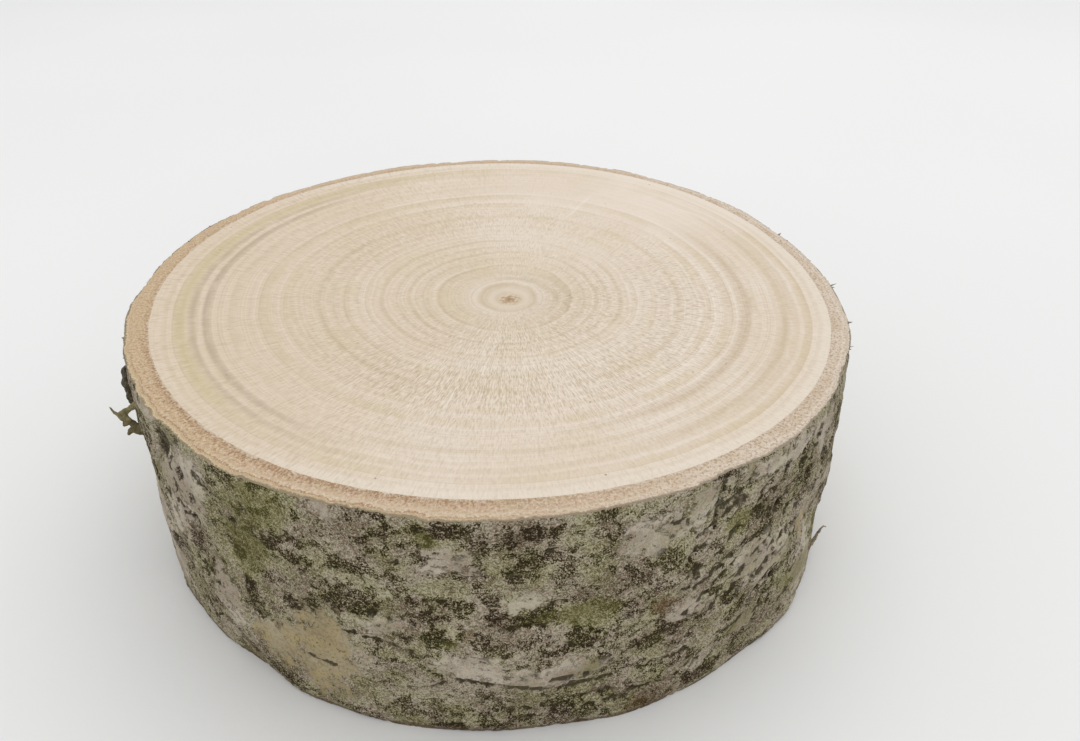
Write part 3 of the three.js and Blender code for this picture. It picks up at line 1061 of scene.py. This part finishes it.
def olive_lichen_material():
    """Dry strap lichen: matt olive, browner and darker in the folds, with paler dusty spots."""
    material, tree = new_material("dry_olive_lichen")
    place = in_millimetres(tree)
    mottle = lumps(place, 0.9, 3, 0.6, 0.34, 0.66)
    grain = lumps(place, 0.22, 2, 0.6, 0.3, 0.7)
    height = add(tree, "SeparateXYZ", {0: place}).outputs["Z"]
    lower = between(sum_of((height, 1.0), (mottle, 0.8)), 34.6, 33.2)
    colour = coats(
        coat("#7D7250", "#9A9068", mottle),
        ("#554A32", between(grain, 0.4, 0.05), 0.6),
        ("#5E5238", lower, 0.6),
    )
    surface(tree, colour, 0.92, sum_of((mottle, 0.6), (grain, 0.5)), 0.12)
    return material


def dark_lichen_material():
    """Leafy lichen: nearly black brown, with olive-grey rims where its leaves turn up."""
    material, tree = new_material("dark_leafy_lichen")
    place = in_millimetres(tree)
    mottle = lumps(place, 1.1, 4, 0.65, 0.34, 0.66)
    grain = lumps(place, 0.28, 2, 0.65, 0.3, 0.7)
    colour = coats(
        coat("#3F3628", "#5D5540", mottle),
        ("#8A8168", between(grain, 0.6, 1), mottle, 0.7),
        ("#231D14", between(grain, 0.4, 0), 0.7),
    )
    surface(tree, colour, 0.9, sum_of((mottle, 0.7), (grain, 0.5)), 0.15)
    return material


def torn_bark_material():
    """Torn bark fibres and shreds: dry, grey-brown, streaked along their length."""
    material, tree = new_material("torn_bark_fibre")
    place = in_millimetres(tree)
    mottle = lumps(place, 0.8, 3, 0.6, 0.34, 0.66)
    streaks = lumps(in_millimetres(tree, stretch=(1, 1, 0.2)), 0.25, 2, 0.6, 0.3, 0.7)
    colour = coats(
        coat("#A09279", "#857A64", mottle),
        ("#BBAE95", between(streaks, 0.6, 1), 0.6),
        ("#625640", between(streaks, 0.4, 0), 0.6),
    )
    surface(tree, colour, 0.9, sum_of((mottle, 0.4), (streaks, 0.6)), 0.08)
    return material


def lichen_tuft():
    """The branched tuft on the left side, which stands a few millimetres out from the bark."""
    shape = bmesh.new()
    for seed, bends in enumerate(TUFT_STRAPS):
        wider = [(out, height, 1.3 * half_width) for out, height, half_width in bends]
        grow_strap(shape, TUFT_ANGLE, wider, 0.26, seed)
    return merged("branched_tuft", shape, olive_lichen_material(), 0.09)


def lichen_crust():
    """The dark leafy crust under the upper cut: low, wrinkled leaves that lie over each other."""
    shape = bmesh.new()
    for angle, height, half_width, half_height, out in CRUST_LEAVES:
        grow_lump(shape, angle, on_stem(angle, height, 0.1), (out, half_width, half_height))
    at = places(shape)
    wrinkles = layered_noise(at, 1.1, 3, 7)
    outwards = at * (1, 1, 0) / np.hypot(at[:, 0], at[:, 1])[:, None]
    spread = layered_noise(at, 0.8, 2, 8)
    moved = at + outwards * wrinkles[:, None] * 0.4
    moved[:, 2] += spread * 0.4
    move_to(shape, moved)
    return merged("leafy_crust", shape, dark_lichen_material(), 0.12)


def bark_shred():
    """A thin shred of bark that has come loose low on the right side and hooks outwards."""
    shape = bmesh.new()
    grow_strap(shape, SHRED_ANGLE, SHRED, 0.12, 9)
    return merged("bark_shred", shape, torn_bark_material(), 0.07)


def rim_fibres():
    """Torn fibres that the saw has left standing at the edge of the upper cut."""
    shape = bmesh.new()
    chance = random.Random(21)
    strewn = [(chance.uniform(-30, 200), chance.uniform(0.2, 0.45), 75) for _ in range(30)]
    for angle, length, lean in (*RIM_FIBRES, *strewn):
        for _ in range(2):
            at_angle = angle + chance.uniform(-0.8, 0.8)
            tall = length * chance.uniform(0.4, 1.0)
            wide = chance.uniform(0.08, 0.22)
            foot = on_stem(at_angle, THICKNESS - chance.uniform(0.1, 0.6), -0.15)
            tip = math.radians(lean + chance.uniform(-20, 20))
            turn = turned_to(at_angle + chance.uniform(-35, 35)) @ Matrix.Rotation(tip, 3, "Y")
            place = Matrix.LocRotScale(foot + turn @ Vector((0, 0, tall / 2)), turn, None)
            bmesh.ops.create_cone(
                shape, cap_ends=True, segments=5, radius1=wide, radius2=wide / 5, depth=tall, matrix=place
            )
    return finished("rim_fibres", shape, [torn_bark_material()])


# ---------------------------------------------------------------------------------------------
# The camera, the light and the floor


def camera():
    """Looks down on the slice from the front."""
    looks_down, looks_right = 33.83, 3.68
    lens = bpy.data.cameras.new("camera")
    lens.sensor_width = 36
    lens.lens = 30.17
    viewer = bpy.data.objects.new("camera", lens)
    viewer.location = (0, -0.1364, 0.1136)
    viewer.rotation_euler = (math.radians(90 - looks_down), 0, math.radians(-looks_right))
    bpy.context.scene.collection.objects.link(viewer)
    bpy.context.scene.camera = viewer


def light():
    """Even daylight from all sides, and one wide soft light above, a little behind and to the right."""
    scene = bpy.context.scene
    scene.view_settings.view_transform = "Standard"
    world = bpy.data.worlds.new("daylight")
    world.use_nodes = True
    sky = world.node_tree.nodes["Background"]
    sky.inputs["Color"].default_value = linear("#FDFEFF")
    sky.inputs["Strength"].default_value = 0.82
    scene.world = world
    lamp = bpy.data.lights.new("soft_light", "AREA")
    lamp.shape = "DISK"
    lamp.size = 0.9
    lamp.energy = 1.7
    lamp.color = (1.0, 0.985, 0.96)
    softbox = bpy.data.objects.new("soft_light", lamp)
    softbox.location = (0.15, 0.2, 0.8)
    softbox.rotation_euler = softbox.location.to_track_quat("Z", "Y").to_euler()
    scene.collection.objects.link(softbox)


def floor():
    """A plain pale tabletop of matt laminate."""
    material, tree = new_material("matt_white_laminate")
    place = in_millimetres(tree)
    cloud = lumps(place, 300, 2)
    colour = coat("#EFEFEE", "#F2F2F1", cloud)
    surface(tree, colour, 0.6, lumps(place, 2, 2), 0.01)
    shape = bmesh.new()
    reach = 3000  # from the middle to each side
    bmesh.ops.create_grid(shape, x_segments=4, y_segments=4, size=reach)
    piece = finished("floor", shape, [material])


camera()
light()
floor()
belongs(wood(), "wood_slice")
belongs(bark(), "wood_slice")
belongs(bark_shred(), "wood_slice")
belongs(rim_fibres(), "wood_slice")
belongs(lichen_tuft(), "lichen_tuft")
belongs(lichen_crust(), "lichen_crust")
